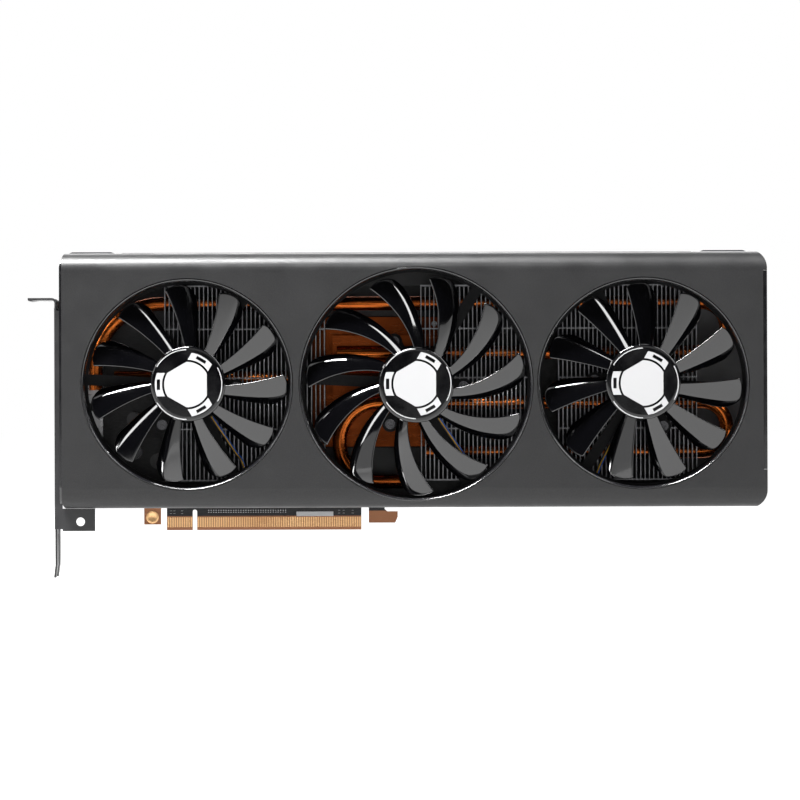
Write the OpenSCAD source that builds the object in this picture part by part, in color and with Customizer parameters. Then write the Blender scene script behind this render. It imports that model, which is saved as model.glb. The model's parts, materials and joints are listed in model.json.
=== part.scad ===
// Triple-fan graphics card. Origin: centre of the key notch of the edge connector, at the
// board's mid-plane, on the bottom edge of the contacts. +X runs away from the bracket,
// -Y is the fan side and +Z is up. Angles named "clock" turn clockwise from up, seen from the fans.

/* [Shroud] */
// X of the shroud's bracket end
shroud_left = -55.35; // [-55.4:0.05:-54]
// X of the shroud's tail end
shroud_right = 245.75; // [240:0.25:250]
// Height of the shroud's underside
shroud_bottom = 10.2; // [10.2:0.1:11]
// Height of the shroud's top
shroud_top = 119.2; // [119:0.2:122]
// Distance of the shroud's front face in front of the board
shroud_depth = 48.8; // [48.5:0.1:52]
// Wall of the shroud
shroud_wall = 2.0; // [1.6:0.1:2.2]
// Radius of the long front edges
edge_r = 8.5; // [5:0.5:10]

/* [Fans] */
// Radius of the side fans' openings
side_open_r = 45.35; // [44:0.05:45.5]
// Radius of the middle fan's opening
mid_open_r = 50.15; // [48:0.05:50.2]
// Height of the fan axes
fan_z = 63; // [62:0.5:66]
// Blades on each fan
blade_count = 11; // [7:1:13]
// Radius of a fan hub
hub_r = 16; // [14:0.5:17]
// Gap between the blade tips and the duct
tip_gap = 1.0; // [0.8:0.1:2]
// Thickness of a blade
blade_t = 1.2; // [0.9:0.1:1.6]

/* [Heatsink] */
// Spacing of the fins
fin_pitch = 1.85; // [1.6:0.05:2.5]
// Thickness of a fin
fin_t = 0.4; // [0.3:0.05:0.6]
// Lowest edge of the fins
fin_bottom = 21.5; // [20:0.5:24]
// Highest edge of the fins
fin_top = 105.5; // [102:0.5:108]
// Radius of a heat pipe
pipe_r = 3; // [2.5:0.25:3.5]

/* [Board] */
// Thickness of the board
board_t = 1.6; // [1.5:0.1:1.8]
// X of the board's tail end
board_right = 208; // [200:1:215]
// Top edge of the board
board_top = 111.15; // [109:0.05:112]
// Spacing of the edge contacts
contact_pitch = 1.0; // [1:0.1:1]

/* [Bracket] */
// X of the bracket's outer face
bracket_x = -59.05; // [-59.05:0.05:-58.9]
// Thickness of the bracket's sheet
bracket_t = 0.86; // [0.8:0.02:1]
// Top of the bracket's flange
flange_z = 100.36; // [100:0.02:101]
// Slot pitch of the expansion slots
slot_pitch = 20.32; // [20.32:0.01:20.32]

/* [Hidden] */
$fn = 96;

eps = 0.01;
board_front = -board_t / 2;
board_back = board_t / 2;

// Depths, as Y, from the fans to the back
face_y = -shroud_depth;
inner_face_y = face_y + 2.2;
shroud_back_y = -4;
hub_front_y = face_y + 1.3;
blade_front_y = face_y + 2.0;
hub_back_y = face_y + 15.5;
frame_front_y = face_y + 17.3;
frame_back_y = frame_front_y + 2;
fin_front_y = frame_back_y + 1;
fin_back_y = -9.5;
pipe_y = -17;
backplate_y = 4.0;
backplate_t = 1.4;

// Fans, in order: x, opening radius, the first blade's clock angles, how far its trailing tip
// corner is rounded off, and the clock angle of the first motor lug
LEFT = 0;
MIDDLE = 1;
RIGHT = 2;
fan_x = [-1.85, 95.95, 192.95];
open_r = [side_open_r, mid_open_r, side_open_r];
duct_wall = 1.35;
// clock angles of a blade's leading edge, crease and trailing edge, at its root and its tip
blade_root = [[27, 36, 45], [30, 36, 46], [27, 40, 48]];
blade_tip = [[19, 35, 38.5], [7, 22.5, 26], [22.5, 40, 43]];
tip_corner = [5.5, 5.5, 7.5];
lug_clock = [213, 213, 154];
lug_r = 20.5;
shaft_r = 1.5;
blade_step = 360 / blade_count;
function duct_r(i) = open_r[i] - duct_wall;
function tip_r(i) = duct_r(i) - tip_gap;

// Heatsink blocks, as X from and to
fin_blocks = [[-12, 57], [98, 149], [157, 218]];
pipe_z = [33.6, 55.0, 76.4, 97.8];
left_bend_r = 28;
gap_bend_r = 17;
gpu_x = 79;
gpu_z = 64;
gpu_screw_span = 25;

// Edge connector
key_half = 0.95;
key_top = 8.9;
fingers_left = -12.15;
fingers_right = 72.15;
contact_w = 0.7;
contact_h = 4.3;
contact_z = 1.3;
contact_t = 0.05;

// Display sockets along the bracket
socket_z = [64, 43, 85];
wide_socket_z = 22;
dp_w = 17.6;
dp_h = 6.4;
hdmi_w = 15.4;
hdmi_h = 6.6;
socket_wall = 0.5;
tab_hole_r = 1.85;

// Power sockets
power_x = [161, 183];
power_w = 18.8;
power_d = 10.4;
power_low_z = 106;
power_high_z = 118.6;
cell = 3.4;
cell_pitch = 4.2;

// ---------- helpers ----------
module box(lo, hi) {
    translate(lo) cube([hi[0] - lo[0], hi[1] - lo[1], hi[2] - lo[2]]);
}

// A cylinder along Y, at x and z
module y_rod(r, y0, y1, x, z) {
    translate([x, y1, z]) rotate([90, 0, 0]) cylinder(r = r, h = y1 - y0);
}

// A cylinder along X, at y and z
module x_rod(r, x0, x1, y, z) {
    translate([x0, y, z]) rotate([0, 90, 0]) cylinder(r = r, h = x1 - x0);
}

// Extrudes an X-Z outline from y0 to y1
module along_y(y0, y1) {
    translate([0, y1, 0]) rotate([90, 0, 0]) linear_extrude(y1 - y0) children();
}

// Extrudes a Y-Z outline from x0 to x1
module along_x(x0, x1) {
    translate([x0, 0, 0]) rotate([90, 0, 90]) linear_extrude(x1 - x0) children();
}

// A turned body about a fan's axis: the outline is drawn as radius and Y
module turned(i) {
    translate([fan_x[i], 0, fan_z]) rotate([-90, 0, 0]) rotate_extrude() children();
}

// Puts children at a clock angle and a radius from a fan's axis, kept upright in the fan's plane
module at_clock(i, clock, r) {
    translate([fan_x[i], 0, fan_z]) rotate([0, clock, 0]) translate([0, 0, r]) children();
}

// A rectangle with a radius on each corner, given as low-left, low-right, high-right, high-left
module rounded_outline(x0, z0, x1, z1, r) {
    difference() {
        translate([x0, z0]) square([x1 - x0, z1 - z0]);
        corner_cut(x0, z0, r[0], 0);
        corner_cut(x1, z0, r[1], 90);
        corner_cut(x1, z1, r[2], 180);
        corner_cut(x0, z1, r[3], 270);
    }
}

module corner_cut(x, z, r, turn) {
    translate([x, z]) rotate(turn) difference() {
        translate([-1, -1]) square(r + 1);
        translate([r, r]) circle(r);
    }
}

// A slot with round ends, its length along the outline's first axis
module slot_outline(length, width) {
    square([length - width, width], center = true);
    for (side = [-1, 1]) translate([side * (length - width) / 2, 0]) circle(width / 2);
}

// ---------- shroud and trims ----------
module shroud_section(inset) {
    rounded_outline(
        face_y + (inset > 0 ? 2.2 : 0), shroud_bottom + inset,
        shroud_back_y + (inset > 0 ? 1 : 0), shroud_top - inset,
        [edge_r - inset, 0.01, 0.01, edge_r - inset]
    );
}

trim_w = 1.6;
tail_trim_low = 26;
tail_trim_high = 111;

module shroud() {
    color("#3c3c3e") difference() {
        intersection() {
            along_x(shroud_left, shroud_right) difference() {
                shroud_section(0);
                shroud_section(shroud_wall);
            }
            along_y(face_y - 1, 0)
                rounded_outline(shroud_left, shroud_bottom - 1, shroud_right, shroud_top + 1,
                                [4, 8, 8, 4]);
        }
        for (i = [LEFT, MIDDLE, RIGHT])
            y_rod(open_r[i], face_y - 1, inner_face_y + edge_r, fan_x[i], fan_z);
        // recess for the tail's trim strip
        box([shroud_right - trim_w, face_y - 1, tail_trim_low],
            [shroud_right + 1, shroud_back_y - 4, tail_trim_high]);
        // opening over the power sockets
        box([power_x[0] - 2, -power_d - 4, shroud_top - shroud_wall - 1],
            [power_x[1] + power_w + 2, shroud_back_y + 1, shroud_top + 1]);
        // counterbored case screws
        for (x = case_screw_x, up = [true, false]) case_screw_hole(x, up);
    }
}

case_screw_x = [-30, 120, 226];
case_screw_y = -18;

module case_screw_hole(x, up) {
    wall_z = up ? shroud_top - shroud_wall : shroud_bottom;
    translate([x, case_screw_y, wall_z - 1]) cylinder(r = 1.25, h = shroud_wall + 2);
    translate([x, case_screw_y, up ? shroud_top - 1.1 : shroud_bottom - 1]) cylinder(r = 2.4, h = 2.1);
}

// Gloss strip that edges the shroud's front and top beside the bracket
module end_trim_bracket() {
    strip_x = shroud_left - 0.95;
    strip_top = shroud_top - 0.4;
    color("#0c0c0d") intersection() {
        along_x(strip_x, shroud_left - 0.05) difference() {
            rounded_outline(face_y + 0.3, shroud_bottom + 0.6, shroud_back_y - 2, strip_top,
                            [edge_r, 0.01, 0.01, edge_r]);
            translate([face_y + 4, shroud_bottom - 4]) square([60, shroud_top - shroud_bottom - 3]);
        }
        along_y(face_y - 1, 0)
            rounded_outline(strip_x, shroud_bottom - 1, shroud_left + 20, strip_top, [3, 3, 3, 6]);
    }
}

// Gloss frame set into the tail, around the grille's window
module end_trim_tail() {
    color("#0c0c0d") along_x(shroud_right - trim_w + 0.05, shroud_right) difference() {
        translate([face_y + 0.25, tail_trim_low + 0.1])
            square([shroud_depth - 8.35, tail_trim_high - tail_trim_low - 0.2]);
        rounded_outline(face_y + 6, tail_trim_low + 7, shroud_back_y - 9, tail_trim_high - 7, [5, 3, 3, 5]);
    }
}

// Slotted plate that closes the tail end
module tail_grille() {
    grille_x = shroud_right - trim_w - 2.6;
    slots = 7;
    slot_step = (shroud_top - shroud_bottom - 30) / (slots - 1);
    color("#151516") difference() {
        along_x(grille_x, grille_x + 1.5)
            rounded_outline(inner_face_y + 0.3, shroud_bottom + shroud_wall + 0.3,
                            shroud_back_y - 1, shroud_top - shroud_wall - 0.3, [6, 0.5, 0.5, 6]);
        for (k = [0 : slots - 1])
            translate([0, -25, shroud_bottom + 15 + k * slot_step])
                along_x(grille_x - 1, grille_x + 3) slot_outline(30, 5);
    }
}

// Raised trim along the shroud's top edge: a thin rail with a pad near each end
module top_trim() {
    rail_y = -30;
    pad_h = 0.75;
    rail_h = 0.35;
    color("#8f9092") {
        box([-30, rail_y, shroud_top], [214, rail_y + 3, shroud_top + rail_h]);
        for (pad = [[-51.3, -34.7], [219.2, 236.2]])
            along_y(rail_y - 2, rail_y + 6) polygon([
                [pad[0] - 2, shroud_top], [pad[1] + 2, shroud_top],
                [pad[1], shroud_top + pad_h], [pad[0], shroud_top + pad_h]
            ]);
    }
}

// ---------- fans ----------
// Bell-mouthed duct that lines an opening of the shroud
module fan_ring(i) {
    r_in = duct_r(i);
    r_out = open_r[i] - 0.1;
    color("#101012") turned(i) polygon([
        [r_out - 0.35, face_y + 0.2], [r_out, face_y + 0.4], [r_out, inner_face_y + 1.2],
        [r_in + 1.0, inner_face_y + 1.2],
        [r_in + 1.0, frame_front_y], [r_in, frame_front_y], [r_in, face_y + 2.2],
        [r_out - 0.9, face_y + 0.5]
    ]);
}

// Motor base with its three lugs, three arms and the ring behind the duct, about the fan's axis
module frame_outline(i) {
    ring_in = duct_r(i) - 1.0;
    difference() {
        union() {
            circle(hub_r + 0.5);
            for (k = [0 : 2]) rotate(-lug_clock[i] - 120 * k) {
                translate([0, lug_r]) circle(3.4);
                translate([-3, hub_r - 2]) square([6, lug_r - hub_r + 2]);
                rotate(60) translate([-2.4, hub_r - 2]) square([4.8, ring_in + 0.6 - hub_r + 2]);
            }
            difference() {
                circle(ring_in + 2);
                circle(ring_in);
            }
        }
        for (k = [0 : 2]) rotate(-lug_clock[i] - 120 * k) translate([0, lug_r]) circle(1.3);
    }
}

module fan_frame(i) {
    tube_r = 4.6;
    bore_r = 3.5;
    color("#141415") difference() {
        union() {
            along_y(frame_front_y, frame_back_y) translate([fan_x[i], fan_z]) frame_outline(i);
            y_rod(tube_r, frame_front_y - 11, frame_back_y - 0.5, fan_x[i], fan_z);
        }
        y_rod(bore_r, frame_front_y - 12, frame_front_y + 0.6, fan_x[i], fan_z);
    }
}

// Laminated core with its wound poles
module stator(i) {
    poles = 4;
    core_front = frame_front_y - 9.5;
    core_back = frame_front_y - 3;
    color("#9a5a2a") difference() {
        union() {
            y_rod(7, core_front, core_back, fan_x[i], fan_z);
            for (k = [0 : poles - 1]) at_clock(i, 45 + 90 * k, 0) {
                box([-1.4, core_front + 1.5, 5], [1.4, core_back - 1.5, 11]);
                box([-2.9, core_front + 0.6, 7.2], [2.9, core_back - 0.6, 10.2]);
                box([-4.6, core_front + 1, 10.4], [4.6, core_back - 1, 11.2]);
            }
        }
        y_rod(4.65, core_front - 1, core_back + 1, fan_x[i], fan_z);
    }
}

module bearing(i) {
    color("#b08a3c") difference() {
        y_rod(3.45, frame_front_y - 10.8, frame_front_y + 0.3, fan_x[i], fan_z);
        y_rod(shaft_r + 0.04, frame_front_y - 12, frame_front_y + 1, fan_x[i], fan_z);
    }
}

module fan_shaft(i) {
    color("#c8c8c8") y_rod(shaft_r, hub_front_y + 1.4, frame_front_y + 0.1, fan_x[i], fan_z);
}

module rotor_magnet(i) {
    color("#3a3a3c") difference() {
        y_rod(hub_r - 1.5, hub_front_y + 2.2, hub_back_y, fan_x[i], fan_z);
        y_rod(hub_r - 3.6, hub_front_y + 2, hub_back_y + 1, fan_x[i], fan_z);
    }
}

function mix(a, b, t) = a + (b - a) * t;

// Blade sections. u runs from 0 at the leading edge through 1 at the crease to 2 at the trailing
// edge, and s from root to tip: the wide face falls gently and the strip behind it steeply.
face_slope = 0.4;
strip_slope = 0.85;
function blade_point(i, s, u, deep) =
    let (
        edges = mix(blade_root[i], blade_tip[i], s),
        face = min(u, 1) * (edges[1] - edges[0]),
        strip = max(u - 1, 0) * (edges[2] - edges[1]),
        share = (face + strip) / (edges[2] - edges[0]),
        a = edges[0] + face + strip,
        r = mix(hub_r - 1.2, tip_r(i) - tip_round(i, share), s),
        arc = mix(hub_r, tip_r(i), s) * PI / 180,
        y = blade_front_y + arc * (face_slope * face + strip_slope * strip) + (deep ? blade_t : 0)
    ) [r * sin(a), y, r * cos(a)];
// how far the tip's corners are drawn in, at the leading and the trailing side
function tip_round(i, share) =
    share < 0.5 ? 1.6 * pow(1 - 2 * share, 3) : tip_corner[i] * pow(2 * share - 1, 2);

blade_s = [0, 0.25, 0.5, 0.75, 1];
blade_u = [0, 0.2, 0.6, 0.8, 1, 1.5, 2];

module blade(i) {
    ns = len(blade_s);
    nu = len(blade_u);
    layer = ns * nu;
    points = [for (deep = [false, true], s = blade_s, u = blade_u) blade_point(i, s, u, deep)];
    grid = [for (a = [0 : ns - 2], b = [0 : nu - 2]) [a * nu + b, a * nu + b + 1,
                                                      (a + 1) * nu + b + 1, (a + 1) * nu + b]];
    rim = concat(
        [for (b = [0 : nu - 1]) b],
        [for (a = [1 : ns - 1]) a * nu + nu - 1],
        [for (b = [nu - 2 : -1 : 0]) (ns - 1) * nu + b],
        [for (a = [ns - 2 : -1 : 1]) a * nu]
    );
    n = len(rim);
    front = [for (q = grid, half = [[2, 1, 0], [3, 2, 0]]) [for (k = half) q[k]]];
    back = [for (q = grid, half = [[0, 1, 2], [0, 2, 3]]) [for (k = half) q[k] + layer]];
    side = [for (k = [0 : n - 1], half = [0, 1])
        let (p = rim[k], q = rim[(k + 1) % n])
        half == 0 ? [p, q, p + layer] : [q, q + layer, p + layer]];
    polyhedron(points, concat(front, back, side));
}

module impeller(i) {
    color("#0e0e10") {
        difference() {
            turned(i) polygon([
                [0, hub_front_y], [hub_r - 0.4, hub_front_y],
                [hub_r, hub_front_y + 0.4], [hub_r, hub_back_y], [hub_r - 1.4, hub_back_y],
                [hub_r - 1.4, hub_front_y + 1.9], [3, hub_front_y + 1.9],
                [3, hub_front_y + 4.5], [0, hub_front_y + 4.5]
            ]);
            y_rod(shaft_r + 0.01, hub_front_y + 1.38, hub_back_y, fan_x[i], fan_z);
        }
        for (k = [0 : blade_count - 1])
            translate([fan_x[i], 0, fan_z]) rotate([0, k * blade_step, 0]) blade(i);
    }
}

// Inlaid emblem: a three-sided shield, three windows around it and three thin arcs
module sector(from, to, r) {
    polygon([[0, 0], for (k = [0 : 6]) let (a = mix(from, to, k / 6)) [r * sin(a), r * cos(a)]]);
}

module emblem_outline() {
    shield_r = 9.7;
    shield_flat = 8.5;
    window_r = [10.6, 13.7];
    window_w = 10;
    difference() {
        circle(shield_r);
        for (side = [90, 210, 330]) rotate(-side) translate([-shield_r, shield_flat]) square(2 * shield_r);
    }
    for (c = [30, 150, 270]) {
        difference() {
            intersection() {
                difference() {
                    circle(window_r[1]);
                    circle(window_r[0]);
                }
                rotate(-c) translate([-window_w / 2, 8]) square([window_w, 8]);
            }
            rotate(-c) translate([0, 12.15]) square([4.5, 1.4], center = true);
        }
    }
    for (c = [90, 210, 330]) intersection() {
        difference() {
            circle(15.1);
            circle(14.7);
        }
        sector(c - 29, c + 29, 20);
    }
}

module hub_emblem(i) {
    color("#e9e9ea") translate([fan_x[i], hub_front_y, fan_z]) rotate([90, 0, 0])
        linear_extrude(0.15) emblem_outline();
}

// Three screws that hold a motor base to its posts on the heatsink
module fan_screws() {
    color("#b9b9bc") for (i = [LEFT, MIDDLE, RIGHT], k = [0 : 2])
        at_clock(i, lug_clock[i] + 120 * k, lug_r) {
            rotate([90, 0, 0]) translate([0, 0, -frame_front_y]) difference() {
                cylinder(r = 2.2, h = 1.2);
                translate([0, 0, 0.5]) cylinder(r = 0.9, h = 1, $fn = 6);
            }
            rotate([90, 0, 0]) translate([0, 0, -frame_back_y - 0.9]) cylinder(r = 1.2, h = 2.9 + eps);
        }
}

// ---------- heatsink ----------
// Pipe holes of every fin, a little larger than the pipes
module fin_outline(pipes) {
    difference() {
        translate([fin_front_y, fin_bottom]) square([fin_back_y - fin_front_y, fin_top - fin_bottom]);
        for (z = pipes) translate([pipe_y, z]) circle(pipe_r + 0.12);
    }
}

module fin_stack(block, pipes) {
    from = fin_blocks[block][0];
    to = fin_blocks[block][1];
    count = floor((to - from) / fin_pitch);
    bar = 0.5;
    bar_w = 4;
    color("#6e7073") {
        for (k = [0 : count]) translate([k * fin_pitch, 0, 0])
            along_x(from, from + fin_t) fin_outline(pipes);
        for (z = [fin_bottom, 43.5, 65.4, 86.5, fin_top - bar], y = [fin_front_y, fin_back_y - bar_w])
            box([from, y, z], [from + count * fin_pitch + fin_t, y + bar_w, z + bar]);
    }
}

left_pipe_z = 66;

// An arc of pipe in the X-Z plane, given as clock angles about its centre
module pipe_arc(x, z, r, from, to) {
    translate([x, pipe_y, z]) rotate([-90, 0, 0]) rotate([0, 0, from - 90])
        rotate_extrude(angle = to - from) translate([r, 0]) circle(pipe_r);
}

module heat_pipes() {
    tail_bend_x = 219;
    tail_bend_r = (pipe_z[3] - pipe_z[2]) / 2;
    left_x = fin_blocks[0][0] - 2;
    top_centre_z = pipe_z[3] - left_bend_r;
    gap_x = 80;
    gap_centre_z = pipe_z[1] - gap_bend_r;
    color("#c0703a") {
        // long upper pipe, bent down beside the bracket and folded back at the tail
        translate([left_x - left_bend_r, pipe_y, top_centre_z - 9]) cylinder(r = pipe_r, h = 9);
        pipe_arc(left_x, top_centre_z, left_bend_r, 270, 360);
        x_rod(pipe_r, left_x, tail_bend_x, pipe_y, pipe_z[3]);
        pipe_arc(tail_bend_x, pipe_z[3] - tail_bend_r, tail_bend_r, 0, 180);
        x_rod(pipe_r, 62, tail_bend_x, pipe_y, pipe_z[2]);
        // short pipe towards the bracket
        x_rod(pipe_r, -34, 94, pipe_y, left_pipe_z);
        // lower pipe, bent round in the gap between the fin blocks
        x_rod(pipe_r, gap_x, gap_x + 12, pipe_y, gap_centre_z - gap_bend_r);
        pipe_arc(gap_x, gap_centre_z, gap_bend_r, 180, 360);
        x_rod(pipe_r, gap_x, tail_bend_x, pipe_y, pipe_z[1]);
        pipe_arc(tail_bend_x, pipe_z[1] - tail_bend_r, tail_bend_r, 0, 180);
        x_rod(pipe_r, fin_blocks[1][0] + 2, tail_bend_x, pipe_y, pipe_z[0]);
    }
}

plate_half = 28;
die_y = board_front - 2.1;

// Copper base: a wide foot on the processor and a raised pedestal under the pipes
module cold_plate() {
    color("#b8672f") difference() {
        union() {
            box([gpu_x - plate_half, -6, gpu_z - plate_half],
                [gpu_x + plate_half, die_y, gpu_z + plate_half]);
            box([60, pipe_y + pipe_r, 44], [97, -6 + eps, 84]);
        }
        for (a = [-1, 1], b = [-1, 1])
            y_rod(1.25, -7, 0, gpu_x + a * gpu_screw_span, gpu_z + b * gpu_screw_span);
        for (z = [52, 74]) box([68, pipe_y, z], [90, pipe_y + pipe_r + 1.5, z + 4]);
    }
}

memory_xz = [[41, 46], [41, 64], [41, 82], [116, 46], [116, 64], [116, 82], [66, 101], [92, 101]];
stage_z = [for (k = [0 : 6]) 28 + 12 * k];
stage_x = 26;

module memory_plate() {
    gap = plate_half + 0.6;
    memory_plate_top = 106;
    color("#1b1b1d") difference() {
        along_y(-4.6, board_front - 2.2) rounded_outline(20, 18, 124, memory_plate_top, [3, 3, 3, 3]);
        box([gpu_x - gap, -6, gpu_z - gap], [gpu_x + gap, 0, gpu_z + gap]);
    }
}

module thermal_pads() {
    color("#8fa0b8") {
        for (p = memory_xz)
            box([p[0] - 6, board_front - 2.2, p[1] - 5], [p[0] + 6, board_front - 1.2, p[1] + 5]);
        for (z = stage_z)
            box([stage_x - 2.5, board_front - 2.2, z - 2.5], [stage_x + 2.5, board_front - 0.9, z + 2.5]);
    }
}

// Folded rails between the fin stacks and the shroud's top and bottom walls
module mounting_rails() {
    rail_x = [-40, 236];
    web_y = -13.6;
    color("#1b1b1d") for (up = [true, false]) {
        wall_z = up ? shroud_top - shroud_wall : shroud_bottom + shroud_wall;
        inner_z = up ? wall_z - 2 : wall_z + 2;
        fin_z = up ? fin_top : fin_bottom;
        difference() {
            union() {
                box([rail_x[0], -22, min(wall_z, inner_z)], [rail_x[1], -12.5, max(wall_z, inner_z)]);
                box([rail_x[0], web_y, min(fin_z, inner_z)], [rail_x[1], -12.5, max(fin_z, inner_z)]);
            }
            for (x = case_screw_x)
                translate([x, case_screw_y, min(wall_z, inner_z) - 1]) cylinder(r = 1.15, h = 4);
            // gaps in the lower web for the fan leads
            if (!up) for (x = header_x) box([x - 3, -15, inner_z + 0.3], [x + 3, -11, fin_bottom + 1]);
        }
    }
}

module case_screws() {
    color("#2a2a2c") for (x = case_screw_x, up = [true, false]) {
        outer_z = up ? shroud_top - 1.1 : shroud_bottom + 1.1;
        translate([x, case_screw_y, outer_z]) mirror([0, 0, up ? 0 : 1]) {
            difference() {
                cylinder(r = 2.2, h = 0.9);
                translate([0, 0, 0.4]) cylinder(r = 0.9, h = 1, $fn = 6);
            }
            translate([0, 0, -2.6]) cylinder(r = 1.1, h = 2.7);
        }
    }
}

// ---------- circuit board ----------
hook_left = 75.35;
hook_right = 87.9;

module board_outline() {
    difference() {
        union() {
            translate([-56.5, 12]) square([board_right + 56.5, board_top - 12]);
            translate([fingers_left, 0]) square([fingers_right - fingers_left, 13]);
            translate([-22, 2.5]) square([7.3, 10.5]);
            translate([fingers_right - 1, 9.2 + 1.6]) square([10.9, 2]);
            polygon([
                [hook_left, 3.2], [hook_left + 0.3, 2.95], [hook_right - 1.1, 2.95],
                [hook_right, 5.5], [hook_right, 7.9], [hook_left + 8, 7.9], [hook_left + 6.9, 8.9],
                [hook_left + 6.7, 13], [hook_left, 13]
            ]);
        }
        // key notch
        translate([-key_half, -1]) square([2 * key_half, key_top - key_half + 1]);
        translate([0, key_top - key_half]) circle(key_half);
        // relief between the contacts and the retention hook
        translate([fingers_right, -1]) square([3.2, 8.6]);
        translate([fingers_right + 1.6, 7.6]) circle(1.6);
        // screw holes
        for (a = [-1, 1], b = [-1, 1])
            translate([gpu_x + a * gpu_screw_span, gpu_z + b * gpu_screw_span]) circle(1.6);
        for (p = bracket_screw_xz) translate(p) circle(1.6);
        for (p = board_screw_xz) translate(p) circle(1.6);
    }
}

bracket_screw_xz = [[-52, 32.5], [-52, 74.5]];
board_screw_xz = [[-30, 104], [8, 17], [150, 17], [204, 17], [204, 106], [140, 106]];

module circuit_board() {
    bevel = 0.45;
    color("#1a1512") difference() {
        along_y(board_front, board_back) board_outline();
        // bevels below the contacts
        for (side = [0, 1]) mirror([0, side, 0]) along_x(fingers_left - 1, fingers_right + 0.5)
            polygon([[board_front - 0.2, -0.5], [board_front - 0.2, contact_z], [board_front, contact_z],
                     [board_front + bevel, 0], [board_front + bevel, -0.5]]);
    }
}

module edge_contacts() {
    left_first = -1.5 - 10 * contact_pitch;
    xs = concat([for (k = [0 : 10]) left_first + k * contact_pitch],
                [for (k = [0 : 70]) 1.5 + k * contact_pitch]);
    color("#d8b070") for (x = xs) {
        box([x - contact_w / 2, board_front - contact_t, contact_z],
            [x + contact_w / 2, board_front, contact_z + contact_h]);
        box([x - contact_w / 2, board_back, contact_z],
            [x + contact_w / 2, board_back + contact_t, contact_z + contact_h]);
    }
}

module gpu_package() {
    half = 20;
    color("#2f4a34")
        box([gpu_x - half, board_front - 1.2, gpu_z - half], [gpu_x + half, board_front, gpu_z + half]);
}

module gpu_die() {
    color("#8c8f96") box([gpu_x - 9, die_y, gpu_z - 7], [gpu_x + 9, board_front - 1.2, gpu_z + 7]);
}

module memory_chips() {
    color("#161617") for (p = memory_xz)
        box([p[0] - 7, board_front - 1.2, p[1] - 6], [p[0] + 7, board_front, p[1] + 6]);
}

module power_stages() {
    color("#1c1c1e") for (z = stage_z)
        box([stage_x - 3, board_front - 0.9, z - 3], [stage_x + 3, board_front, z + 3]);
}

module inductors() {
    color("#55565a") for (z = stage_z) {
        box([7, board_front - 6.4, z - 5], [17, board_front, z + 5]);
        box([8, board_front - 6.8, z - 4], [16, board_front - 6.4, z + 4]);
    }
}

capacitor_xz = [
    [-4, 40], [-4, 52], [-4, 64], [-4, 76], [-4, 88], [-16, 30], [-26, 34], [-26, 48],
    [134, 28], [134, 40], [134, 52], [134, 76], [134, 88], [146, 34], [172, 30], [186, 26]
];

module capacitors() {
    color("#9ea2a8") for (p = capacitor_xz) {
        y_rod(3.1, board_front - 6.6, board_front - 0.8, p[0], p[1]);
        y_rod(3.4, board_front - 0.8, board_front, p[0], p[1]);
    }
}

header_x = [16, 128, 176];
header_z = 16;

module fan_headers() {
    color("#e6e2d4") for (x = header_x) difference() {
        box([x - 5, board_front - 5, header_z - 2.2], [x + 5, board_front, header_z + 2.2]);
        box([x - 4.2, board_front - 6, header_z - 1.5], [x + 4.2, board_front - 1.2, header_z + 1.5]);
    }
}

// Round lead swept through hand-chosen points: over the motor base, down beside an arm, behind
// the frame's ring, under the fins and into its header
lead_r = 0.45;
lead_clock = [146, 146, 207];
function lead_route(i) = let (
    a = lead_clock[i],
    x = fan_x[i],
    hx = header_x[i],
    s = sin(a),
    c = cos(a),
    front = frame_front_y - lead_r - 0.05,
    back = frame_back_y + 0.5,
    ring_x = x + duct_r(i) * s
) [
    [x + 17 * s, front, fan_z + 17 * c], [x + 24 * s, front, fan_z + 24 * c],
    [x + 31 * s, front, fan_z + 31 * c], [x + 36 * s, mix(front, back, 0.5), fan_z + 36 * c],
    [x + 40 * s, back, fan_z + 40 * c], [ring_x, back, 23], [ring_x, back, 20.2],
    [mix(ring_x, hx, 0.4), -25, 18.6], [mix(ring_x, hx, 0.8), -18, 17.6], [hx, -12, 16.6],
    [hx, -7, header_z], [hx, -2.2, header_z]
];

function unit(v) = v / norm(v);
function heading(p, k) = unit(p[min(k + 1, len(p) - 1)] - p[max(k - 1, 0)]);

module swept_tube(p, r, sides) {
    rings = len(p);
    points = [for (k = [0 : rings - 1], m = [0 : sides - 1])
        let (t = heading(p, k), u = unit(cross(t, [1, 0.3, 0.2])), v = cross(t, u), a = 360 * m / sides)
        p[k] + r * (cos(a) * u + sin(a) * v)];
    walls = [for (k = [0 : rings - 2], m = [0 : sides - 1], half = [0, 1])
        let (a = k * sides + m, b = k * sides + (m + 1) % sides)
        half == 0 ? [a, a + sides, b] : [b, a + sides, b + sides]];
    ends = [[for (m = [0 : sides - 1]) m], [for (m = [sides - 1 : -1 : 0]) (rings - 1) * sides + m]];
    polyhedron(points, concat(walls, ends));
}

module fan_leads() {
    color("#17171a") for (i = [LEFT, MIDDLE, RIGHT]) swept_tube(lead_route(i), lead_r, 8);
}

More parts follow.
